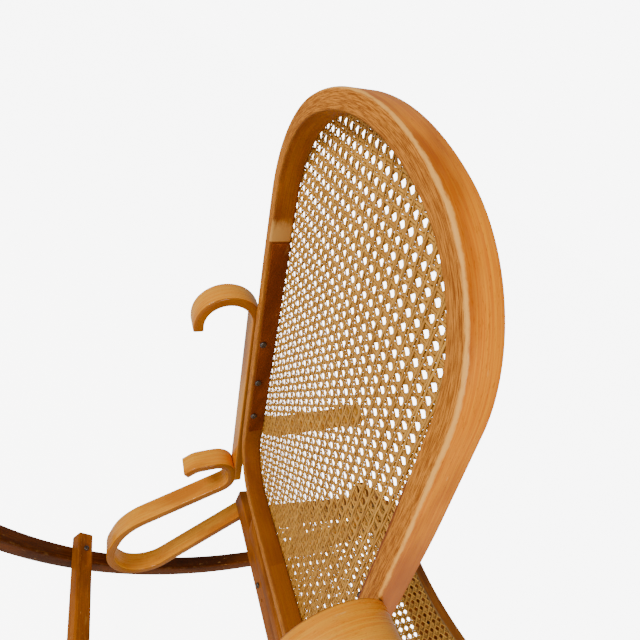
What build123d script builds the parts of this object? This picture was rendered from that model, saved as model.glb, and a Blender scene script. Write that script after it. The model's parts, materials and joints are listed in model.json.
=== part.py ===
from build123d import *
import os
from math import asin, cos, degrees, radians, sin, sqrt, tan

# Bentwood rocking chair with caned back and seat. Millimetres, +Z up.
# The sitter faces -Y and +X is their left. The origin is the middle of the footprint on the floor.

# Back panel, measured on its own plane: "up" from the foot of the back, "forward" along its normal
back_recline = 20.0
back_foot_y = 60.0
back_foot_z = 417.0
back_height = 640.0
back_half_width = 189.5
shoulder_half_width = 185.0
back_taper = 0.6
band_thickness = 18.0
band_depth = 27.0
crown_radius = 260.0
crown_half_chord = 104.0
shoulder_up = 497.0
waist_up = 400.0
back_corner_radius = 84.0

# Side frames lean outward towards the floor from where they touch the back
contact_up = 375.0
side_splay = 2.5
ribbon_width = 36.0
ribbon_thickness = 14.0

# Runners
runner_radius = 680.0
runner_height = 28.0
runner_width = 26.0
runner_half_length = 425.0

# Seat, on its own plane, which starts at the top of its rear edge
seat_rear_up = -141.0
seat_rear_forward = 0.0
seat_slope = 8.1
seat_depth = 372.0
seat_half_width = 200.0
seat_rail_width = 36.0
seat_rail_thickness = 20.0
seat_rear_corner = 52.0
seat_front_corner = 64.0
seat_front_dip = 34.0

# Cross bars
seat_bar_depth = 22.0
rear_seat_bar_height = 34.0
front_seat_bar_height = 26.0
seat_bar_overhang = 2.0
front_seat_bar_setback = 290.0
runner_bar_width = 30.0
runner_bar_height = 22.0
runner_bar_overhang = 18.0
runner_bar_edge = 4.0
rear_runner_bar_y = 276.0
front_runner_bar_y = -150.0

# Cane, splines and lining strips
cane_thickness = 2.0
cane_lap = 9.0
spline_width = 4.0
spline_depth = 6.0
lining_thickness = 3.5
lining_width = 22.0
lining_top_up = 441.0
lining_bottom_up = 110.0

# Screws
screw_head_radius = 4.8
screw_head_height = 3.4
screw_shank_radius = 2.2
back_screw_ups = (288.0, 216.0, 146.0)
back_screw_forward = -18.5
arm_screw_ups = (188.0, 140.0)
scroll_screw_up = -48.0
seat_bar_screw_xs = (-65.0, 65.0)
spare_hole_xs = (-39.0, 39.0)
spare_hole_radius = 2.6
long_screw = 34.0
short_screw = 24.0

os.makedirs("parts", exist_ok=True)

recline = radians(back_recline)
splay = radians(side_splay)
side_foot_x = back_half_width + (back_foot_z + contact_up * cos(recline)) * tan(splay)

back_plane = Plane(
    origin=(0, back_foot_y, back_foot_z),
    x_dir=(1, 0, 0),
    z_dir=(0, -cos(recline), sin(recline)),
)
side_plane = Plane(
    origin=(side_foot_x, 0, 0),
    x_dir=(0, 1, 0),
    z_dir=(cos(splay), 0, sin(splay)),
)


def back_point(up, forward):
    """Side view (y, z) of a point measured up the back and forward from its front face."""
    y = back_foot_y + up * sin(recline) - forward * cos(recline)
    z = back_foot_z + up * cos(recline) + forward * sin(recline)
    return (y, z)


def side_x(z):
    """Inner face of the side frame at a height."""
    return side_foot_x - z * tan(splay)


seat_y, seat_z = back_point(seat_rear_up, seat_rear_forward)
slope = radians(seat_slope)
seat_plane = Plane(
    origin=(0, seat_y, seat_z),
    x_dir=(1, 0, 0),
    z_dir=(0, sin(slope), cos(slope)),
)


def export(solid, name):
    solid.label = name
    export_step(solid, f"parts/{name}.step")


def export_pair(left, name):
    """Write a left piece and its mirror image."""
    export(left, f"left_{name}")
    export(mirror(left, about=Plane.YZ), f"right_{name}")


# Back hoop: one bent band, arched at the top and nearly flat at the foot
def back_outline(inset):
    """Right half of the hoop's outline as a closed face, inset from the outer line."""
    foot_half = back_half_width + waist_up * tan(radians(back_taper)) - inset
    top = back_height - inset
    crown = crown_radius - inset
    drop = crown - sqrt(crown**2 - (crown_half_chord - inset / 2) ** 2)
    side = back_half_width - inset
    with BuildSketch(mode=Mode.PRIVATE) as half:
        with BuildLine():
            knee = (crown_half_chord - inset / 2, top - drop)
            crown_arc = RadiusArc((0, top), knee, crown)
            shoulder = TangentArc(knee, (shoulder_half_width - inset, shoulder_up), tangent=crown_arc % 1)
            corner = FilletPolyline(
                shoulder @ 1,
                (side, waist_up),
                (foot_half, inset),
                (0, inset),
                radius=(1200, back_corner_radius - inset),
            )
            Line(corner @ 1, crown_arc @ 0)
        make_face()
        mirror(about=Plane.YZ)
    return half.sketch


outer_face = back_outline(0)
inner_face = back_outline(band_thickness)
groove_face = back_outline(band_thickness - cane_lap - spline_width / 2)
groove_inner_face = back_outline(band_thickness - cane_lap + spline_width / 2)

with BuildPart() as back_spline:
    with BuildSketch(back_plane.offset(-spline_depth)):
        add(groove_face)
        add(groove_inner_face, mode=Mode.SUBTRACT)
    extrude(amount=spline_depth + cane_thickness)

with BuildPart() as back_hoop:
    with BuildSketch(back_plane.offset(-band_depth)):
        add(outer_face)
        add(inner_face, mode=Mode.SUBTRACT)
    extrude(amount=band_depth)
    with BuildSketch(back_plane.offset(-spline_depth)):
        add(groove_face)
        add(groove_inner_face, mode=Mode.SUBTRACT)
    extrude(amount=spline_depth, mode=Mode.SUBTRACT)

with BuildPart() as back_cane:
    with BuildSketch(back_plane):
        add(groove_inner_face)
    extrude(amount=cane_thickness)


# Seat ring: a flat bent ring whose front rail bows inwards
def seat_outline(inset):
    """The seat's outline as a closed face, inset from the outer line."""
    side = seat_half_width - inset
    front = -(seat_depth - inset)
    middle = -(seat_depth - seat_front_dip - inset)
    rear = -inset
    with BuildSketch(mode=Mode.PRIVATE) as outline:
        with BuildLine():
            Line((-side, rear), (side, rear))
            Line((side, rear), (side, front))
            ThreePointArc((side, front), (0, middle), (-side, front))
            Line((-side, front), (-side, rear))
        make_face()
        fillet(outline.vertices().group_by(Axis.Y)[-1], radius=seat_rear_corner - inset)
        fillet(outline.vertices().group_by(Axis.Y)[0], radius=seat_front_corner - inset)
    return outline.sketch


seat_outer = seat_outline(0)
seat_inner = seat_outline(seat_rail_width)
seat_groove_outer = seat_outline(seat_rail_width - cane_lap - spline_width / 2)
seat_groove_inner = seat_outline(seat_rail_width - cane_lap + spline_width / 2)

with BuildPart() as seat_spline:
    with BuildSketch(seat_plane.offset(-spline_depth)):
        add(seat_groove_outer)
        add(seat_groove_inner, mode=Mode.SUBTRACT)
    extrude(amount=spline_depth + cane_thickness)

with BuildPart() as seat_ring:
    with BuildSketch(seat_plane.offset(-seat_rail_thickness)):
        add(seat_outer)
        add(seat_inner, mode=Mode.SUBTRACT)
    extrude(amount=seat_rail_thickness)
    with BuildSketch(seat_plane.offset(-spline_depth)):
        add(seat_groove_outer)
        add(seat_groove_inner, mode=Mode.SUBTRACT)
    extrude(amount=spline_depth, mode=Mode.SUBTRACT)

with BuildPart() as seat_cane:
    with BuildSketch(seat_plane):
        add(seat_groove_inner)
    extrude(amount=cane_thickness)


# Bars under the seat: both lie against the underside of the ring and reach past the side frames
seat_under = seat_plane.offset(-seat_rail_thickness)


def seat_bar(setback, height):
    """Cross bar hung under the seat ring, with its rear face a setback from the seat's rear edge."""
    middle = setback + seat_bar_depth / 2
    half_length = side_x(seat_z) + ribbon_width + seat_bar_overhang
    with BuildPart() as bar:
        with BuildSketch(seat_under):
            with Locations((0, -middle)):
                Rectangle(2 * half_length, seat_bar_depth)
        extrude(amount=-height)
        fillet(bar.edges().filter_by(Axis.X), radius=2.5)
        fillet(bar.edges().group_by(Axis.X)[-1], radius=1.5)
        fillet(bar.edges().group_by(Axis.X)[0], radius=1.5)
    return bar.part


rear_bar_solid = seat_bar(2, rear_seat_bar_height)
front_bar_solid = seat_bar(front_seat_bar_setback, front_seat_bar_height)


# Ribbons: flat laminated strips bent in the plane of the side frame
def side_point(point):
    """A side view point in the side frame's own plane."""
    return (point[0], point[1] / cos(splay))


def ribbon(points, radii, width, inset=0):
    """Strip along a filleted centre line, as wide as given, starting an inset from the inner face."""
    with BuildPart() as strip:
        with BuildSketch(side_plane.offset(inset)):
            with BuildLine():
                FilletPolyline(*[side_point(p) for p in points], radius=radii)
            trace(line_width=ribbon_thickness)
        extrude(amount=width)
    return strip.part


curl_rear = -102.0
curl_top_up = 345.0
run_forward = -22.0
back_ribbon_points = (
    back_point(298, curl_rear),
    back_point(curl_top_up, curl_rear),
    back_point(curl_top_up, run_forward),
    back_point(-64, run_forward),
)
curl_radii = (39.9, 39.9)

arm_forward = run_forward + ribbon_thickness
arm_up = 54.0
arm_points = (
    back_point(205, arm_forward),
    back_point(arm_up, arm_forward),
    back_point(arm_up, 206),
)
arm_radii = (62,)

scroll_points = (
    back_point(-26, -114),
    back_point(-14, -97),
    back_point(-11, -38),
    back_point(-76, -30),
    back_point(-166, -222),
    back_point(-262, -262),
    back_point(-357, -206),
    back_point(-198, 0),
)
scroll_radii = (20, 29, 30, 100, 90, 56)

front_loop_points = (
    (-186, 165),
    (-214, 72),
    (-368, 147),
    (-396, 272),
    (-272, 286),
)
front_loop_radii = (42, 66, 58)

back_ribbon = ribbon(back_ribbon_points, curl_radii, ribbon_width)
arm_ribbon = ribbon(arm_points, arm_radii, ribbon_width)

with BuildPart() as scroll_ribbon:
    add(ribbon(scroll_points, scroll_radii, ribbon_width))
    add(rear_bar_solid, mode=Mode.SUBTRACT)
    add(back_ribbon, mode=Mode.SUBTRACT)

with BuildPart() as front_loop:
    add(ribbon(front_loop_points, front_loop_radii, ribbon_width))
    add(front_bar_solid, mode=Mode.SUBTRACT)

runner_inset = (ribbon_width - runner_width) / 2


# Cross bars that lie on the runners and reach past them
def runner_bar(y):
    """Bar resting on both runners, tilted to the runner's slope where it sits."""
    angle = asin(y / runner_radius)
    top_radius = runner_radius - runner_height
    top_y = top_radius * sin(angle)
    top_z = runner_radius - top_radius * cos(angle)
    half_length = side_x(top_z) + ribbon_width - runner_inset + runner_bar_overhang
    seat_on = Plane(
        origin=(0, top_y, top_z),
        x_dir=(1, 0, 0),
        z_dir=(0, -sin(angle), cos(angle)),
    )
    with BuildPart() as bar:
        with BuildSketch(seat_on):
            Rectangle(2 * half_length, runner_bar_width)
        extrude(amount=runner_bar_height)
        fillet(bar.edges().filter_by(GeomType.LINE), radius=runner_bar_edge)
    return bar.part


rear_runner_bar = runner_bar(rear_runner_bar_y)
front_runner_bar = runner_bar(front_runner_bar_y)

# Runners: deeper bent rods centred under the ribbons, which are let into shallow housings
runner_foot = -runner_inset * tan(splay)
runner_sweep = degrees(asin(runner_half_length / runner_radius))

with BuildPart() as runner:
    with BuildSketch(side_plane.offset(runner_inset)):
        with BuildLine():
            CenterArc(
                center=(0, runner_foot + runner_radius),
                radius=runner_radius - runner_height / 2,
                start_angle=270 - runner_sweep,
                arc_size=2 * runner_sweep,
            )
        trace(line_width=runner_height)
    extrude(amount=runner_width)
    add(scroll_ribbon.part, mode=Mode.SUBTRACT)
    add(front_loop.part, mode=Mode.SUBTRACT)
    add(rear_runner_bar, mode=Mode.SUBTRACT)
    add(front_runner_bar, mode=Mode.SUBTRACT)


# Lining strips glued inside the back hoop, which the back screws pass through
with BuildPart() as lining:
    with BuildSketch(back_plane.offset(-lining_width - 1)):
        with Locations((back_half_width / 2, (lining_top_up + lining_bottom_up) / 2)):
            Rectangle(back_half_width, lining_top_up - lining_bottom_up)
        add(inner_face, mode=Mode.INTERSECT)
        add(back_outline(band_thickness + lining_thickness), mode=Mode.SUBTRACT)
    extrude(amount=lining_width)


# Screws: each stands with the underside of its head on a plane and its shank driven down
def screw(plane, length):
    """One round-head wood screw."""
    with BuildPart() as piece:
        with BuildSketch(plane.offset(-length)):
            Circle(screw_shank_radius)
        extrude(amount=length)
        with BuildSketch(plane):
            Circle(screw_head_radius)
        extrude(amount=screw_head_height)
        dome = piece.faces().sort_by(Axis(plane.origin, plane.z_dir))[-1]
        fillet(dome.edges(), radius=screw_head_height * 0.7)
    return piece.part


def screw_set(planes, length):
    """Equal screws as one group of separate solids."""
    return Compound(children=[screw(plane, length) for plane in planes])


def side_screw_plane(point, direction):
    """Plane across the middle of the ribbons at a side view point, facing a side view direction."""
    spot = side_point(point)
    origin = side_plane.from_local_coords(Vector(spot[0], spot[1], ribbon_width / 2))
    facing = side_plane.x_dir * direction[0] + side_plane.y_dir * direction[1]
    return Plane(origin=origin, x_dir=side_plane.z_dir, z_dir=facing)


def back_screw_plane(up):
    """Plane on the lining strip's inner face, facing the middle of the back."""
    widening = max(waist_up - up, 0) * tan(radians(back_taper))
    x = back_half_width + widening - band_thickness - lining_thickness
    y, z = back_point(up, back_screw_forward)
    return Plane(origin=(x, y, z), x_dir=(0, 1, 0), z_dir=(-1, 0, 0))


forward = (-cos(recline), sin(recline))
arm_face = arm_forward + ribbon_thickness / 2
run_face = run_forward + ribbon_thickness / 2
back_screws = screw_set([back_screw_plane(up) for up in back_screw_ups], long_screw)
arm_screws = screw_set(
    [side_screw_plane(back_point(up, arm_face), forward) for up in arm_screw_ups],
    short_screw,
)
scroll_screw = screw(side_screw_plane(back_point(scroll_screw_up, run_face), forward), short_screw)

rear_bar_face = seat_under.offset(-rear_seat_bar_height / 2)
rear_screw_planes = [
    Plane(
        origin=rear_bar_face.from_local_coords(Vector(x, -2, 0)),
        x_dir=(1, 0, 0),
        z_dir=seat_plane.y_dir,
    )
    for x in seat_bar_screw_xs
]
rear_bar_screws = screw_set(rear_screw_planes, seat_bar_depth - 2)

# Two screws are gone from the rear bar, and their holes go right through it
with BuildPart() as rear_bar:
    add(rear_bar_solid)
    for x in spare_hole_xs:
        spare_plane = Plane(
            origin=rear_bar_face.from_local_coords(Vector(x, 0, 0)),
            x_dir=(1, 0, 0),
            z_dir=seat_plane.y_dir,
        )
        with BuildSketch(spare_plane):
            Circle(spare_hole_radius)
        extrude(amount=-2 * seat_bar_depth, mode=Mode.SUBTRACT)

front_bar_middle = front_seat_bar_setback + seat_bar_depth / 2
front_bar_under = seat_under.offset(-front_seat_bar_height)
front_screw_planes = [
    Plane(
        origin=front_bar_under.from_local_coords(Vector(x, -front_bar_middle, 0)),
        x_dir=(1, 0, 0),
        z_dir=-seat_plane.z_dir,
    )
    for x in seat_bar_screw_xs
]
front_bar_screws = screw_set(front_screw_planes, long_screw)


def runner_bar_screws(y):
    """A screw down through a runner bar into each runner."""
    angle = asin(y / runner_radius)
    top_radius = runner_radius - runner_height - runner_bar_height
    z = runner_radius - top_radius * cos(angle)
    x = side_x(z) + ribbon_width / 2
    up = (0, -sin(angle), cos(angle))
    planes = [
        Plane(origin=(sign * x, top_radius * sin(angle), z), x_dir=(1, 0, 0), z_dir=up)
        for sign in (-1, 1)
    ]
    return screw_set(planes, long_screw)


rear_runner_screws = runner_bar_screws(rear_runner_bar_y)
front_runner_screws = runner_bar_screws(front_runner_bar_y)


def drilled(solid, *fasteners):
    """The piece with a hole for each screw that enters it."""
    with BuildPart() as piece:
        add(solid)
        for fastener in fasteners:
            add(fastener, mode=Mode.SUBTRACT)
    return piece.part


right_back_screws = mirror(back_screws, about=Plane.YZ)
export(drilled(back_hoop.part, back_screws, right_back_screws), "back_hoop")
export(back_cane.part, "back_cane")
export(back_spline.part, "back_cane_spline")
export(seat_cane.part, "seat_cane")
export(seat_spline.part, "seat_cane_spline")
export(drilled(seat_ring.part, front_bar_screws), "seat_ring")
export(drilled(rear_bar.part, rear_bar_screws), "rear_seat_bar")
export(drilled(front_bar_solid, front_bar_screws), "front_seat_bar")
export(drilled(rear_runner_bar, rear_runner_screws), "rear_runner_bar")
export(drilled(front_runner_bar, front_runner_screws), "front_runner_bar")
export(rear_bar_screws, "rear_seat_bar_screws")
export(front_bar_screws, "front_seat_bar_screws")
export(rear_runner_screws, "rear_runner_bar_screws")
export(front_runner_screws, "front_runner_bar_screws")
export_pair(drilled(lining.part, back_screws), "lining_strip")
export_pair(drilled(back_ribbon, back_screws, arm_screws, scroll_screw), "back_ribbon")
export_pair(drilled(arm_ribbon, arm_screws), "arm_ribbon")
export_pair(drilled(scroll_ribbon.part, scroll_screw), "scroll_ribbon")
export_pair(front_loop.part, "front_loop_ribbon")
export_pair(drilled(runner.part, rear_runner_screws, front_runner_screws), "runner")
export_pair(back_screws, "back_screws")
export_pair(arm_screws, "arm_screws")
export_pair(scroll_screw, "scroll_screw")
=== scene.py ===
"""Looks for the bentwood rocking chair: swept wood, woven cane and their materials around the CAD."""

import json
import math

import bpy
import numpy as np
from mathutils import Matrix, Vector


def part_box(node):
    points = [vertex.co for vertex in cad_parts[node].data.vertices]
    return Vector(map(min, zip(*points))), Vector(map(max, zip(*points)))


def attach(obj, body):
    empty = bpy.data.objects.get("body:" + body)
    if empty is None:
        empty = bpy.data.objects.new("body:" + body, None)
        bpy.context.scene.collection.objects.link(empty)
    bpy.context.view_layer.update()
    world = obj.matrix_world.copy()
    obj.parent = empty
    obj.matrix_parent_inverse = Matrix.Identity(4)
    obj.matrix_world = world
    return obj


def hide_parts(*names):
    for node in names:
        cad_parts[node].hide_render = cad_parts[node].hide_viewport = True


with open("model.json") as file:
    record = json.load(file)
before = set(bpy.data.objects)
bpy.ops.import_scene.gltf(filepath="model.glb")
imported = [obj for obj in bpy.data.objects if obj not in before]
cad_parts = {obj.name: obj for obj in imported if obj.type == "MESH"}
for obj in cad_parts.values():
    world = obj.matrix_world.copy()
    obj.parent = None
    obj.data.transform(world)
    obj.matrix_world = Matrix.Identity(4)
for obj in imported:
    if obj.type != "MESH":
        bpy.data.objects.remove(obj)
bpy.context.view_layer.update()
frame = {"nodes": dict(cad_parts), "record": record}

# Dimensions shared with the CAD part, in millimetres and degrees
RECLINE = math.radians(20)
BACK_FOOT_Y, BACK_FOOT_Z = 60, 417
BACK_HEIGHT, BACK_HALF_WIDTH, SHOULDER_HALF_WIDTH = 640, 189.5, 185
BACK_TAPER = math.radians(0.6)
BAND_THICKNESS, BAND_DEPTH = 18, 27
CROWN_RADIUS, CROWN_HALF_CHORD = 260, 104
SHOULDER_UP, WAIST_UP, CONTACT_UP = 497, 400, 375
WAIST_RADIUS, BACK_CORNER_RADIUS = 1200, 84
SPLAY = math.radians(2.5)
RIBBON_WIDTH, RIBBON_THICKNESS = 36, 14
SIDE_FOOT_X = BACK_HALF_WIDTH + (BACK_FOOT_Z + CONTACT_UP * math.cos(RECLINE)) * math.tan(SPLAY)
RUNNER_RADIUS, RUNNER_HEIGHT, RUNNER_WIDTH, RUNNER_HALF_LENGTH = 680, 28, 26, 425
SEAT_SLOPE, SEAT_REAR_UP = math.radians(8.1), -141
SEAT_DEPTH, SEAT_HALF_WIDTH, SEAT_RAIL_WIDTH, SEAT_RAIL_THICKNESS = 372, 200, 36, 20
SEAT_REAR_CORNER, SEAT_FRONT_CORNER, SEAT_FRONT_DIP = 52, 64, 34
CANE_LAP, CANE_PITCH, CANE_LIFT = 9, 12.7, 1.0

# Strands of the weave, in millimetres: their size, their spacing and how they rise over each other
STRAND_WIDTH, STRAND_HALF_THICKNESS, PAIR_GAP = 3.0, 0.6, 2.9
DIAGONAL_WIDTH = STRAND_WIDTH * 1.08
UPRIGHT_LEVEL, CROSS_LEVEL, DIAGONAL_LEVEL = -0.45, 0.0, 0.50
STRAND_SWING, DIAGONAL_PHASE, STRAND_WAVER, SHORTEST_STRAND = 0.40, 0.8, 0.12, 3

# Rounded edges of the swept wood, in millimetres
HOOP_EDGE, SEAT_EDGE, RIBBON_EDGE, RUNNER_EDGE, END_CHAMFER = 3, 4, 2.6, 4, 0.8

# Fineness of the made meshes: millimetres between points of an arc and of a sweep, steps in an edge
ARC_STEP, RING_STEP, CORNER_SEGMENTS = 3, 4, 4


def back_point(up, forward):
    """Side view (y, z) of a point measured up the back and forward from its front face."""
    y = BACK_FOOT_Y + up * math.sin(RECLINE) - forward * math.cos(RECLINE)
    z = BACK_FOOT_Z + up * math.cos(RECLINE) + forward * math.sin(RECLINE)
    return (y, z)


SEAT_Y, SEAT_Z = back_point(SEAT_REAR_UP, 0)


# Each plane is an origin, two in-plane axes and a normal, in millimetres
BACK_PLANE = (
    np.array([0, BACK_FOOT_Y, BACK_FOOT_Z]),
    np.array([1, 0, 0]),
    np.array([0, math.sin(RECLINE), math.cos(RECLINE)]),
    np.array([0, -math.cos(RECLINE), math.sin(RECLINE)]),
)
SEAT_PLANE = (
    np.array([0, SEAT_Y, SEAT_Z]),
    np.array([1, 0, 0]),
    np.array([0, math.cos(SEAT_SLOPE), -math.sin(SEAT_SLOPE)]),
    np.array([0, math.sin(SEAT_SLOPE), math.cos(SEAT_SLOPE)]),
)


def side_frame_plane(side):
    """Plane of one side frame, 1 for the sitter's left and -1 for their right."""
    return (
        np.array([side * SIDE_FOOT_X, 0, 0]),
        np.array([0, 1, 0]),
        np.array([-side * math.sin(SPLAY), 0, math.cos(SPLAY)]),
        np.array([side * math.cos(SPLAY), 0, math.sin(SPLAY)]),
    )


# Where the hoop's bare patch starts, in metres from the origin along the back, just above the lining
BARE_PATCH_UP = 443
BACK_FOOT_UP = BACK_FOOT_Y * math.sin(RECLINE) + BACK_FOOT_Z * math.cos(RECLINE)
BARE_PATCH_FOOT = (BARE_PATCH_UP + BACK_FOOT_UP) / 1000


# Flat outlines
def arc_points(center, radius, start, end):
    """Points along an arc between two angles."""
    count = max(2, int(abs(end - start) * radius / ARC_STEP) + 1)
    angles = np.linspace(start, end, count)
    return [(center[0] + radius * math.cos(a), center[1] + radius * math.sin(a)) for a in angles]


def fillet_corner(before, corner, after, radius):
    """Points of the arc that rounds one corner of a path."""
    a = (np.array(before) - corner) / np.linalg.norm(np.array(before) - corner)
    b = (np.array(after) - corner) / np.linalg.norm(np.array(after) - corner)
    half = math.acos(float(a @ b)) / 2
    middle = (a + b) / np.linalg.norm(a + b)
    center = np.array(corner) + middle * radius / math.sin(half)
    start = np.array(corner) + a * radius / math.tan(half) - center
    end = np.array(corner) + b * radius / math.tan(half) - center
    start_angle = math.atan2(start[1], start[0])
    turn = math.atan2(start[0] * end[1] - start[1] * end[0], float(start @ end))
    return arc_points(center, radius, start_angle, start_angle + turn)


def fillet_path(points, radii):
    """Open path through the points with its inner corners rounded."""
    path = [points[0]]
    for i, radius in enumerate(radii, start=1):
        path += fillet_corner(points[i - 1], np.array(points[i], float), points[i + 1], radius)
    return path + [points[-1]]


def back_outline(inset):
    """Closed outline of the back hoop, inset from its outer line."""
    crown = CROWN_RADIUS - inset
    chord = CROWN_HALF_CHORD - inset / 2
    top = BACK_HEIGHT - inset
    lean = math.asin(chord / crown)
    half = arc_points((0, top - crown), crown, math.pi / 2, math.pi / 2 - lean)
    knee = np.array(half[-1])
    inward = np.array([-math.sin(lean), -math.cos(lean)])
    chord_line = np.array([SHOULDER_HALF_WIDTH - inset, SHOULDER_UP]) - knee
    radius = float(chord_line @ chord_line) / (2 * float(inward @ chord_line))
    center = knee + inward * radius
    end = knee + chord_line - center
    half += arc_points(center, radius, math.pi / 2 - lean, math.atan2(end[1], end[0]))[1:]
    foot = BACK_HALF_WIDTH + WAIST_UP * math.tan(BACK_TAPER) - inset
    lower = fillet_path(
        [half[-1], (BACK_HALF_WIDTH - inset, WAIST_UP), (foot, inset), (0, inset)],
        (WAIST_RADIUS, BACK_CORNER_RADIUS - inset),
    )
    half += lower[1:]
    mirrored = [(-x, y) for x, y in half[1:-1]]
    return half + mirrored[::-1]


def seat_outline(inset):
    """Closed outline of the seat ring, with its front bowed inwards."""
    side = SEAT_HALF_WIDTH - inset
    front = -(SEAT_DEPTH - inset)
    front_radius = SEAT_FRONT_CORNER - inset
    rear_radius = SEAT_REAR_CORNER - inset
    bow = [(x * side, front + SEAT_FRONT_DIP * (1 - x * x)) for x in np.linspace(-1, 1, 25)]
    reach = 4
    outline = fillet_path(
        [bow[-reach - 1], (side, front), (side, -inset), (-side, -inset), (-side, front), bow[reach]],
        (front_radius, rear_radius, rear_radius, front_radius),
    )
    between = [point for point in bow if abs(point[0]) < side - front_radius]
    return outline[1:-1] + between


def resample(path, closed):
    """Points spread evenly along a path."""
    points = np.array(path + [path[0]] if closed else path, float)
    gaps = np.linalg.norm(np.diff(points, axis=0), axis=1)
    keep = np.concatenate([[True], gaps > 0.01])
    points = points[keep]
    length = np.concatenate([[0], np.cumsum(np.linalg.norm(np.diff(points, axis=0), axis=1))])
    even = np.linspace(0, length[-1], max(2, int(length[-1] / RING_STEP)) + 1)
    return np.stack([np.interp(even, length, points[:, k]) for k in (0, 1)], axis=1), even


# Mesh building
def new_object(name, vertices, faces, grain):
    """Mesh object from millimetre vertices, carrying its grain coordinates in metres."""
    mesh = bpy.data.meshes.new(name)
    mesh.from_pydata([tuple(v) for v in np.array(vertices) / 1000], [], faces)
    attribute = mesh.attributes.new("grain", "FLOAT_VECTOR", "POINT")
    attribute.data.foreach_set("vector", (np.array(grain, np.float32) / 1000).ravel())
    mesh.polygons.foreach_set("use_smooth", [True] * len(faces))
    mesh.update()
    obj = bpy.data.objects.new(name, mesh)
    bpy.context.scene.collection.objects.link(obj)
    return obj


def rounded_section(across, along, radius):
    """Outline of a rounded rectangle, as (across, along) pairs."""
    section = []
    for sx, sy, start in ((1, 1, 0), (-1, 1, 90), (-1, -1, 180), (1, -1, 270)):
        for k in range(CORNER_SEGMENTS + 1):
            angle = math.radians(start + 90 * k / CORNER_SEGMENTS)
            x = sx * (across / 2 - radius) + radius * math.cos(angle)
            y = sy * (along / 2 - radius) + radius * math.sin(angle)
            section.append((x, y))
    return np.array(section)


def sweep_rings(path, across, along, radius, closed):
    """Stations of a swept bar: point, outward direction, length so far and section, with chamfered ends."""
    points, lengths = resample(path, closed)
    tangents = np.gradient(points, axis=0)
    if closed:
        seam = points[1] - points[-2]
        tangents[0] = seam
        tangents[-1] = seam
    tangents /= np.linalg.norm(tangents, axis=1)[:, None]
    normals = np.stack([tangents[:, 1], -tangents[:, 0]], axis=1)
    section = rounded_section(across, along, radius)
    rings = [(p, n, s, section) for p, n, s in zip(points, normals, lengths)]
    if not closed:
        cut = END_CHAMFER
        small = rounded_section(across - 2 * cut, along - 2 * cut, radius)
        rings[0] = (points[0] + tangents[0] * cut, normals[0], cut, section)
        rings[-1] = (points[-1] - tangents[-1] * cut, normals[-1], lengths[-1] - cut, section)
        rings.insert(0, (points[0], normals[0], 0, small))
        rings.append((points[-1], normals[-1], lengths[-1], small))
    return rings


def sweep(name, path, plane, middle, across, along, radius, closed=False):
    """Rounded bar swept along a flat path, whose middle stands off the plane."""
    origin, x_axis, y_axis, normal = plane
    rings = sweep_rings(path, across, along, radius, closed)
    vertices, grain = [], []
    for point, out, length, shape in rings:
        for u, v in shape:
            flat = point + out * u
            vertices.append(origin + x_axis * flat[0] + y_axis * flat[1] + normal * (middle + v))
            grain.append((length, u, v))
    size = len(rings[0][3])
    faces = []
    for i in range(len(rings) - 1):
        for k in range(size):
            a, b = i * size + k, i * size + (k + 1) % size
            faces.append((a, b, b + size, a + size))
    if not closed:
        last = (len(rings) - 1) * size
        faces.append(tuple(range(size - 1, -1, -1)))
        faces.append(tuple(range(last, last + size)))
    obj = new_object(name, vertices, faces, grain)
    bpy.context.view_layer.objects.active = obj
    obj.select_set(True)
    bpy.ops.object.mode_set(mode="EDIT")
    bpy.ops.mesh.select_all(action="SELECT")
    bpy.ops.mesh.normals_make_consistent(inside=False)
    bpy.ops.object.mode_set(mode="OBJECT")
    obj.select_set(False)
    return obj


# Material building, with lengths in metres, as the grain coordinates are
class Nodes:
    """Short way to write a material's node tree."""

    def __init__(self, name):
        self.material = bpy.data.materials.new(name)
        self.material.use_nodes = True
        self.tree = self.material.node_tree
        self.shader = self.tree.nodes["Principled BSDF"]

    def put(self, socket, value):
        """Link a socket to another one, or set its constant."""
        if isinstance(value, bpy.types.NodeSocket):
            self.tree.links.new(value, socket)
        else:
            socket.default_value = value

    def add(self, kind, inputs=(), **settings):
        """New node with its inputs and settings."""
        made = self.tree.nodes.new(kind)
        for key, value in settings.items():
            setattr(made, key, value)
        for key, value in dict(inputs).items():
            self.put(made.inputs[key], value)
        return made

    def math(self, operation, a, b=0.0):
        return self.add("ShaderNodeMath", {0: a, 1: b}, operation=operation).outputs[0]

    def noise(self, vector, scale, detail=4.0, roughness=0.6):
        inputs = {"Vector": vector, "Scale": scale, "Detail": detail, "Roughness": roughness}
        return self.add("ShaderNodeTexNoise", inputs).outputs["Fac"]

    def stretch(self, vector, factors):
        """Coordinates scaled along each axis."""
        inputs = {0: vector, 1: factors}
        return self.add("ShaderNodeVectorMath", inputs, operation="MULTIPLY").outputs[0]

    def band(self, value, low, high):
        """Smooth step from 0 at low to 1 at high."""
        inputs = {"Value": value, "From Min": low, "From Max": high}
        return self.add("ShaderNodeMapRange", inputs, interpolation_type="SMOOTHSTEP").outputs[0]

    def mix(self, factor, a, b):
        made = self.add("ShaderNodeMix", data_type="RGBA")
        self.put(made.inputs[0], factor)
        self.put(made.inputs[6], a)
        self.put(made.inputs[7], b)
        return made.outputs[2]

    def finish(self, inputs):
        for key, value in inputs.items():
            self.put(self.shader.inputs[key], value)
        return self.material

    def bump(self, height, strength, distance):
        inputs = {"Height": height, "Strength": strength, "Distance": distance}
        return self.add("ShaderNodeBump", inputs).outputs[0]

    def split(self, vector):
        return self.add("ShaderNodeSeparateXYZ", {0: vector}).outputs


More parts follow.
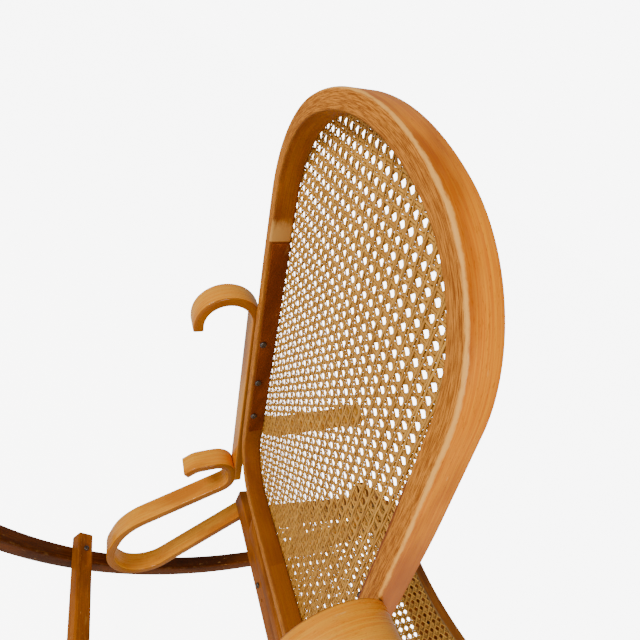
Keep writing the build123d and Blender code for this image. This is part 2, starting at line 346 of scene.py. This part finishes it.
# Wear and painted shade of the wood: how strongly its edges are rubbed, and their colours
EDGE_WEAR = 0.4
PALE_CHIP = (0.95, 0.55, 0.16, 1)
RUBBED_EDGE = (0.70, 0.40, 0.12, 1)
PAINTED_SIDE_SHADE = (0.20, 0.045, 0.002, 1)
LOWER_HOOP_DARK = (0.40, 0.105, 0.008, 1)
BARE_DARK, BARE_LIGHT = (0.27, 0.075, 0.008, 1), (0.86, 0.35, 0.05, 1)
PALE_ARRIS = (0.95, 0.50, 0.12, 1)
INNER_SHADE = (0.13, 0.045, 0.012, 1)
BARE_PATCH = (0.90, 0.50, 0.14, 1)


def wood(name, light, middle, dark, gloss=0.36, coat=0.08, rim=False, shaded_sides=False):
    """Lacquered bent beech: long fibres, short flecks, slow tone change and rubbed edges; optionally
    painted shade on the side faces, and for the hoop its wear and painted shade.
    """
    n = Nodes(name)
    grain = n.add("ShaderNodeAttribute", attribute_name="grain").outputs["Vector"]
    fibre = n.noise(n.stretch(grain, (14, 950, 950)), 1.0, 5.0, 0.6)
    fleck = n.noise(n.stretch(grain, (260, 1500, 1500)), 1.0, 2.0, 0.5)
    tone = n.noise(n.stretch(grain, (7, 26, 26)), 1.0, 3.0, 0.55)
    color = n.mix(n.band(fibre, 0.38, 0.64), (*middle, 1), (*light, 1))
    color = n.mix(n.math("MULTIPLY", n.band(tone, 0.42, 0.68), 0.75), color, (*dark, 1))
    color = n.mix(n.math("MULTIPLY", n.band(fleck, 0.6, 0.72), 0.45), color, (*dark, 1))
    chip = n.noise(n.stretch(grain, (45, 330, 330)), 1.0, 3.0, 0.6)
    color = n.mix(n.math("MULTIPLY", n.band(chip, 0.70, 0.73), 0.6), color, PALE_CHIP)
    edge = n.add("ShaderNodeNewGeometry").outputs["Pointiness"]
    scuff = n.noise(n.stretch(grain, (60, 160, 160)), 1.0, 5.0, 0.7)
    rubbed = n.math("MULTIPLY", n.band(edge, 0.51, 0.56), n.band(scuff, 0.5, 0.66))
    rubbed = n.math("MULTIPLY", rubbed, EDGE_WEAR)
    color = n.mix(rubbed, color, RUBBED_EDGE)
    rough = n.math("ADD", n.math("MULTIPLY", fibre, 0.12), gloss - 0.06)
    # Painted shade: the side faces across the ribbon's width are darkened towards dark brown, standing in
    # for their shade.
    if shaded_sides:
        outward = n.math("ABSOLUTE", n.split(grain)[2])
        side = RIBBON_WIDTH / 2000
        shade = n.math("MULTIPLY", n.band(outward, side - 0.0022, side - 0.0004), 0.7)
        color = n.mix(shade, color, PAINTED_SIDE_SHADE)
    if rim:
        color, rough, coat = worn_and_shaded_rim(n, grain, color, rough, coat, scuff)
    height = n.math("ADD", n.math("MULTIPLY", fibre, 0.6), n.math("MULTIPLY", fleck, 0.4))
    return n.finish(
        {
            "Base Color": color,
            "Roughness": rough,
            "Coat Weight": coat,
            "Coat Roughness": 0.12,
            "Specular IOR Level": 0.14,
            "Normal": n.bump(height, 0.25, 0.0006),
        }
    )


def worn_and_shaded_rim(n, grain, color, rough, coat, scuff):
    """Wear and painted shade of the hoop: darker towards its foot, rear face rubbed to fibrous wood, pale
    outer edge, painted shade on the inner face, bare patch above the lining.
    """
    half_depth, half_thickness = BAND_DEPTH / 2000, BAND_THICKNESS / 2000
    parts = n.split(grain)
    wobble = n.math("MULTIPLY", n.math("SUBTRACT", scuff, 0.5), 0.006)
    depth = n.math("ADD", parts[2], wobble)
    across = n.math("ADD", parts[1], n.math("MULTIPLY", wobble, 0.6))
    spot = n.add("ShaderNodeTexCoord").outputs["Object"]
    up_axis = (0, math.sin(RECLINE), math.cos(RECLINE))
    up = n.add("ShaderNodeVectorMath", {0: spot, 1: up_axis}, operation="DOT_PRODUCT").outputs[1]
    up = n.math("SUBTRACT", up, BARE_PATCH_FOOT)
    # Darker towards the hoop's foot, below the bare patch.
    lower_darkening = n.math("MULTIPLY", n.band(up, 0.02, -0.13), 0.5)
    color = n.mix(lower_darkening, color, LOWER_HOOP_DARK)
    rear = n.band(depth, 0.0030 - half_depth, 0.0005 - half_depth)
    fibre = n.noise(n.stretch(grain, (70, 1500, 1500)), 1.0, 6.0, 0.75)
    bare = n.mix(n.band(fibre, 0.40, 0.62), BARE_DARK, BARE_LIGHT)
    color = n.mix(n.math("MULTIPLY", rear, 0.85), color, bare)
    outer = n.band(across, 0.0024 - half_thickness, 0.0008 - half_thickness)
    arris = n.math("MULTIPLY", outer, n.band(depth, 0.0035 - half_depth, 0.0015 - half_depth))
    color = n.mix(n.math("MULTIPLY", arris, 0.85), color, PALE_ARRIS)
    # Painted shade: the inner face, towards the cane, is darkened as if in shade.
    inner_shade_mask = n.band(parts[1], half_thickness - 0.0020, half_thickness - 0.0004)
    color = n.mix(n.math("MULTIPLY", inner_shade_mask, 0.55), color, INNER_SHADE)
    ragged = n.math("ADD", up, n.math("MULTIPLY", wobble, 6.0))
    bared = n.math("MULTIPLY", n.band(up, 0.0, 0.002), n.band(ragged, 0.034, 0.014))
    facing_in = n.band(parts[1], half_thickness - 0.0030, half_thickness - 0.0010)
    bared = n.math("MULTIPLY", bared, facing_in)
    color = n.mix(n.math("MULTIPLY", bared, 0.8), color, BARE_PATCH)
    rough = n.math("ADD", rough, n.math("MULTIPLY", rear, 0.22))
    return color, rough, n.math("SUBTRACT", coat, n.math("MULTIPLY", rear, coat * 0.7))


# Colours of the cane
DEEP_STRAND, GOLD_STRAND = (0.58, 0.25, 0.025, 1), (0.90, 0.46, 0.07, 1)
PALE_FIBRE = (0.92, 0.60, 0.18, 1)
STAIN, STRAND_EDGE = (0.14, 0.055, 0.013, 1), (0.20, 0.07, 0.012, 1)


def cane_material():
    """Natural split cane: golden strands that differ a little, with brown stains and dark edges."""
    n = Nodes("cane")
    grain = n.add("ShaderNodeAttribute", attribute_name="grain").outputs["Vector"]
    tint = n.add("ShaderNodeAttribute", attribute_name="tint").outputs["Fac"]
    fibre = n.noise(n.stretch(grain, (60, 2500, 2500)), 1.0, 4.0, 0.6)
    patch = n.noise(n.stretch(grain, (25, 60, 60)), 1.0, 3.0, 0.6)
    border = n.add("ShaderNodeAttribute", attribute_name="border").outputs["Fac"]
    color = n.mix(tint, DEEP_STRAND, GOLD_STRAND)
    color = n.mix(n.math("MULTIPLY", n.band(fibre, 0.45, 0.70), 0.4), color, PALE_FIBRE)
    color = n.mix(n.math("MULTIPLY", n.band(patch, 0.52, 0.72), 0.45), color, STAIN)
    color = n.mix(n.math("MULTIPLY", n.band(border, 0.55, 1.0), 0.65), color, STRAND_EDGE)
    return n.finish(
        {
            "Base Color": color,
            "Roughness": 0.42,
            "Normal": n.bump(fibre, 0.3, 0.0003),
        }
    )


def steel_material():
    """Darkened screw steel."""
    n = Nodes("screw_steel")
    spot = n.add("ShaderNodeTexCoord").outputs["Object"]
    grime = n.noise(spot, 900.0, 3.0, 0.6)
    color = n.mix(n.band(grime, 0.4, 0.65), (0.05, 0.045, 0.042, 1), (0.22, 0.20, 0.19, 1))
    rough = n.math("ADD", n.math("MULTIPLY", grime, 0.3), 0.25)
    inputs = {"Base Color": color, "Metallic": 0.9, "Roughness": rough}
    return n.finish({**inputs, "Normal": n.bump(grime, 0.2, 0.0003)})


# Light, middle and dark colour of each wood
HOOP_COLORS = (0.96, 0.34, 0.0), (0.78, 0.21, 0.0), (0.34, 0.06, 0.0)
SEAT_COLORS = (0.50, 0.17, 0.022), (0.33, 0.09, 0.010), (0.15, 0.035, 0.005)
RIBBON_COLORS = (1.0, 0.47, 0.03), (0.92, 0.33, 0.01), (0.60, 0.16, 0.004)
RUNNER_COLORS = (0.20, 0.05, 0.003), (0.10, 0.022, 0.001), (0.04, 0.008, 0.001)
BAR_COLORS = (0.50, 0.15, 0.005), (0.34, 0.09, 0.003), (0.15, 0.033, 0.001)
LINING_COLORS = (0.34, 0.080, 0.010), (0.25, 0.052, 0.007), (0.15, 0.028, 0.004)
SPLINE_COLORS = (0.52, 0.30, 0.11), (0.38, 0.20, 0.07), (0.2, 0.1, 0.03)
MATERIALS = {
    "hoop_wood": wood("hoop_wood", *HOOP_COLORS, rim=True),
    "seat_wood": wood("seat_wood", *SEAT_COLORS),
    "ribbon_wood": wood("ribbon_wood", *RIBBON_COLORS, gloss=0.28, coat=0.3, shaded_sides=True),
    "runner_wood": wood("runner_wood", *RUNNER_COLORS, coat=0.02),
    "bar_wood": wood("bar_wood", *BAR_COLORS, coat=0.1),
    "dark_lining": wood("dark_lining", *LINING_COLORS),
    "cane_spline": wood("cane_spline", *SPLINE_COLORS),
    "cane": cane_material(),
    "screw_steel": steel_material(),
}


def place(obj, slot, node):
    """Give a made piece its material and body, and hide the CAD node that it stands for."""
    obj.data.materials.clear()
    obj.data.materials.append(MATERIALS[slot])
    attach(obj, "root")
    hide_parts(node)


def dress(node):
    """Material for a CAD node that stays in view, with grain along its longest side."""
    obj = frame["nodes"][node]
    slot = next(s["material_slot"] for s in frame["record"]["subparts"] if s["node"] == node)
    low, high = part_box(node)
    longest = max(range(3), key=lambda k: high[k] - low[k])
    order = [longest] + [k for k in range(3) if k != longest]
    points = np.array([v.co for v in obj.data.vertices])[:, order]
    attribute = obj.data.attributes.new("grain", "FLOAT_VECTOR", "POINT")
    attribute.data.foreach_set("vector", points.astype(np.float32).ravel())
    obj.data.materials.clear()
    obj.data.materials.append(MATERIALS[slot])


# Hoop, whose grain starts and ends at its foot, and seat ring
hoop_line = back_outline(BAND_THICKNESS / 2)
foot = len(hoop_line) // 2
hoop_line = hoop_line[foot:] + hoop_line[:foot]
hoop = sweep("hoop", hoop_line, BACK_PLANE, -BAND_DEPTH / 2, BAND_THICKNESS, BAND_DEPTH, HOOP_EDGE, True)
place(hoop, "hoop_wood", "back_hoop")
ring = sweep(
    "seat_frame",
    seat_outline(SEAT_RAIL_WIDTH / 2),
    SEAT_PLANE,
    -SEAT_RAIL_THICKNESS / 2,
    SEAT_RAIL_WIDTH,
    SEAT_RAIL_THICKNESS,
    SEAT_EDGE,
    True,
)
place(ring, "seat_wood", "seat_ring")

# Ribbons of the side frames, as side view centre lines with the radius of each bend
RIBBONS = {
    "back_ribbon": (
        [back_point(298, -102), back_point(345, -102), back_point(345, -22), back_point(-64, -22)],
        (39.9, 39.9),
    ),
    "arm_ribbon": (
        [back_point(205, -8), back_point(54, -8), back_point(54, 206)],
        (62,),
    ),
    "scroll_ribbon": (
        [
            back_point(-26, -114),
            back_point(-14, -97),
            back_point(-11, -38),
            back_point(-76, -30),
            back_point(-166, -222),
            back_point(-262, -262),
            back_point(-357, -206),
            back_point(-198, 0),
        ],
        (20, 29, 30, 100, 90, 56),
    ),
    "front_loop_ribbon": (
        [(-186, 165), (-214, 72), (-368, 147), (-396, 272), (-272, 286)],
        (42, 66, 58),
    ),
}
runner_sweep = math.asin(RUNNER_HALF_LENGTH / RUNNER_RADIUS)
runner_foot = -(RIBBON_WIDTH - RUNNER_WIDTH) / 2 * math.tan(SPLAY)
runner_line = arc_points(
    (0, runner_foot + RUNNER_RADIUS),
    RUNNER_RADIUS - RUNNER_HEIGHT / 2,
    -math.pi / 2 - runner_sweep,
    -math.pi / 2 + runner_sweep,
)
for side_name, side in (("left", 1), ("right", -1)):
    plane = side_frame_plane(side)
    for ribbon_name, (points, radii) in RIBBONS.items():
        line = fillet_path([(y, z / math.cos(SPLAY)) for y, z in points], radii)
        node = f"{side_name}_{ribbon_name}"
        strip = sweep(
            f"{node}_bent",
            line,
            plane,
            RIBBON_WIDTH / 2,
            RIBBON_THICKNESS,
            RIBBON_WIDTH,
            RIBBON_EDGE,
        )
        place(strip, "ribbon_wood", node)
    rod = sweep(
        f"{side_name}_runner_bent",
        runner_line,
        plane,
        RIBBON_WIDTH / 2,
        RUNNER_HEIGHT,
        RUNNER_WIDTH,
        RUNNER_EDGE,
    )
    place(rod, "runner_wood", f"{side_name}_runner")


# Woven cane
def crossings(polygon, point, direction):
    """Sorted distances along a line at which it enters and leaves a polygon."""
    side = np.array([-direction[1], direction[0]])
    offsets = (polygon - point) @ side
    along = (polygon - point) @ direction
    following = np.roll(offsets, -1)
    next_along = np.roll(along, -1)
    hit = (offsets > 0) != (following > 0)
    share = offsets[hit] / (offsets[hit] - following[hit])
    return np.sort(along[hit] + share * (next_along[hit] - along[hit]))


def weave_lines(extent):
    """Strands of the weave, upright and cross pairs and two diagonals: point, direction, level, phase."""
    lines = []
    count = int(extent / CANE_PITCH) + 2
    slant = math.sqrt(0.5)
    for i in range(-count, count + 1):
        for pair in (-1, 1):
            offset = i * CANE_PITCH + pair * PAIR_GAP / 2
            lines.append(((offset, 0), (0, 1), UPRIGHT_LEVEL, pair))
            lines.append(((0, offset), (1, 0), CROSS_LEVEL, pair))
    for i in range(-2 * count, 2 * count + 1):
        between = (i + 0.5) * CANE_PITCH
        lines.append(((between, 0), (slant, slant), DIAGONAL_LEVEL, 1))
        lines.append(((between, 0), (-slant, slant), DIAGONAL_LEVEL, -1))
    return lines


def cane_panel(name, outline, plane, extent):
    """Woven panel of flat lens-shaped strands clipped to an outline."""
    origin, x_axis, y_axis, normal = plane
    polygon = np.array(outline)
    rng = np.random.default_rng(7)
    vertices, faces, grain, tints, borders = [], [], [], [], []
    for point, direction, level, phase in weave_lines(extent):
        point, direction = np.array(point, float), np.array(direction, float)
        cuts = crossings(polygon, point, direction)
        diagonal = abs(direction[0] * direction[1]) > 0.1
        wave = 2 * CANE_PITCH * (math.sqrt(0.5) if diagonal else 1)
        turn = DIAGONAL_PHASE if diagonal else 0
        across = np.array([-direction[1], direction[0]])
        half_width = (DIAGONAL_WIDTH if diagonal else STRAND_WIDTH) / 2
        thick = STRAND_HALF_THICKNESS
        for start, end in zip(cuts[::2], cuts[1::2]):
            if end - start < SHORTEST_STRAND:
                continue
            tint = rng.uniform(0.0, 1.0)
            count = max(3, int((end - start) / (CANE_PITCH / 4)) + 1)
            steps = np.linspace(start, end, count)
            base = len(vertices)
            waver = rng.uniform(-STRAND_WAVER, STRAND_WAVER)
            for s in steps:
                swing = STRAND_SWING * phase * math.sin(2 * math.pi * s / wave + turn)
                height = CANE_LIFT + level + swing
                flat = point + direction * s + across * waver
                for u, v in ((-half_width, 0), (0, thick), (half_width, 0), (0, -thick)):
                    spot = flat + across * u
                    vertices.append(
                        origin + x_axis * spot[0] + y_axis * spot[1] + normal * (height + v)
                    )
                    grain.append((s, u + base * 0.37, v))
                    tints.append(tint)
                    borders.append(float(u != 0))
            for i in range(len(steps) - 1):
                for k in range(4):
                    a, b = base + i * 4 + k, base + i * 4 + (k + 1) % 4
                    faces.append((a, b, b + 4, a + 4))
    obj = new_object(name, vertices, faces, grain)
    attribute = obj.data.attributes.new("tint", "FLOAT", "POINT")
    attribute.data.foreach_set("value", np.array(tints, np.float32))
    attribute = obj.data.attributes.new("border", "FLOAT", "POINT")
    attribute.data.foreach_set("value", np.array(borders, np.float32))
    return obj


back_edge = back_outline(BAND_THICKNESS - CANE_LAP)
back_weave = cane_panel("back_weave", back_edge, BACK_PLANE, BACK_HEIGHT)
place(back_weave, "cane", "back_cane")
seat_edge = seat_outline(SEAT_RAIL_WIDTH - CANE_LAP)
seat_weave = cane_panel("seat_weave", seat_edge, SEAT_PLANE, 2 * SEAT_HALF_WIDTH)
place(seat_weave, "cane", "seat_cane")

# CAD nodes that stay in view
KEPT = ["back_cane_spline", "seat_cane_spline", "rear_seat_bar", "front_seat_bar"]
KEPT += ["rear_runner_bar", "front_runner_bar"]
KEPT += [n for n in frame["nodes"] if "screw" in n or "lining" in n]
for kept in KEPT:
    dress(kept)


# Floor, light and camera, in metres, watts and degrees
FLOOR_GLOW, SKY_GLOW, FILL_LIGHT = 7.5, 7.6, 0.30
FLOOR_SIZE, FLOOR_DROP = 60, 0.002
LAMP_COLOR, LAMP_POWER, LAMP_TARGET = (1.0, 0.90, 0.74), 38, (0, 0.1, 0.7)
LAMPS = {
    "key": ((-2.4, 0.1, 1.1), 0.8),
    "rear": ((-0.2, 2.2, 1.7), 0.7),
}
LENS, SENSOR_WIDTH = 26.1527, 36
CAMERA_PLACE, CAMERA_TURN = (-0.3115, 0.4649, 0.9992), (63.106, -28.407, -112.485)


def seen_white(tree, strength):
    """Strength of a white glow that only the camera sees."""
    path = tree.nodes.new("ShaderNodeLightPath")
    scaled = tree.nodes.new("ShaderNodeMath")
    scaled.operation = "MULTIPLY"
    scaled.inputs[1].default_value = strength
    tree.links.new(path.outputs["Is Camera Ray"], scaled.inputs[0])
    return scaled.outputs[0]


def stage_material():
    """Plain white studio floor."""
    n = Nodes("studio_white")
    spot = n.add("ShaderNodeTexCoord").outputs["Object"]
    shade = n.mix(n.noise(spot, 3.0), (0.78, 0.78, 0.78, 1), (0.82, 0.82, 0.82, 1))
    return n.finish(
        {
            "Base Color": shade,
            "Roughness": 0.9,
            "Emission Color": (1, 1, 1, 1),
            "Emission Strength": seen_white(n.tree, FLOOR_GLOW),
        }
    )


bpy.ops.mesh.primitive_plane_add(size=FLOOR_SIZE, location=(0, 0, -FLOOR_DROP))
floor = bpy.context.object
floor.name = "floor"
floor.data.materials.append(stage_material())

world = bpy.data.worlds.new("studio")
bpy.context.scene.world = world
world.use_nodes = True
background = world.node_tree.nodes["Background"]
background.inputs["Color"].default_value = (1, 1, 1, 1)
glow = world.node_tree.nodes.new("ShaderNodeMath")
glow.inputs[1].default_value = FILL_LIGHT
world.node_tree.links.new(seen_white(world.node_tree, SKY_GLOW), glow.inputs[0])
world.node_tree.links.new(glow.outputs[0], background.inputs["Strength"])


for lamp_name, (lamp_place, lamp_size) in LAMPS.items():
    lamp_data = bpy.data.lights.new(lamp_name, "AREA")
    lamp_data.size = lamp_size
    lamp_data.energy = LAMP_POWER
    lamp_data.color = LAMP_COLOR
    lamp = bpy.data.objects.new(lamp_name, lamp_data)
    bpy.context.scene.collection.objects.link(lamp)
    lamp.location = lamp_place
    aim = Vector(LAMP_TARGET) - lamp.location
    lamp.rotation_euler = aim.to_track_quat("-Z", "Y").to_euler()

camera_data = bpy.data.cameras.new("camera")
camera_data.lens = LENS
camera_data.sensor_width = SENSOR_WIDTH
camera = bpy.data.objects.new("camera", camera_data)
bpy.context.scene.collection.objects.link(camera)
camera.location = CAMERA_PLACE
camera.rotation_euler = [math.radians(angle) for angle in CAMERA_TURN]
bpy.context.scene.camera = camera

bpy.context.view_layer.update()
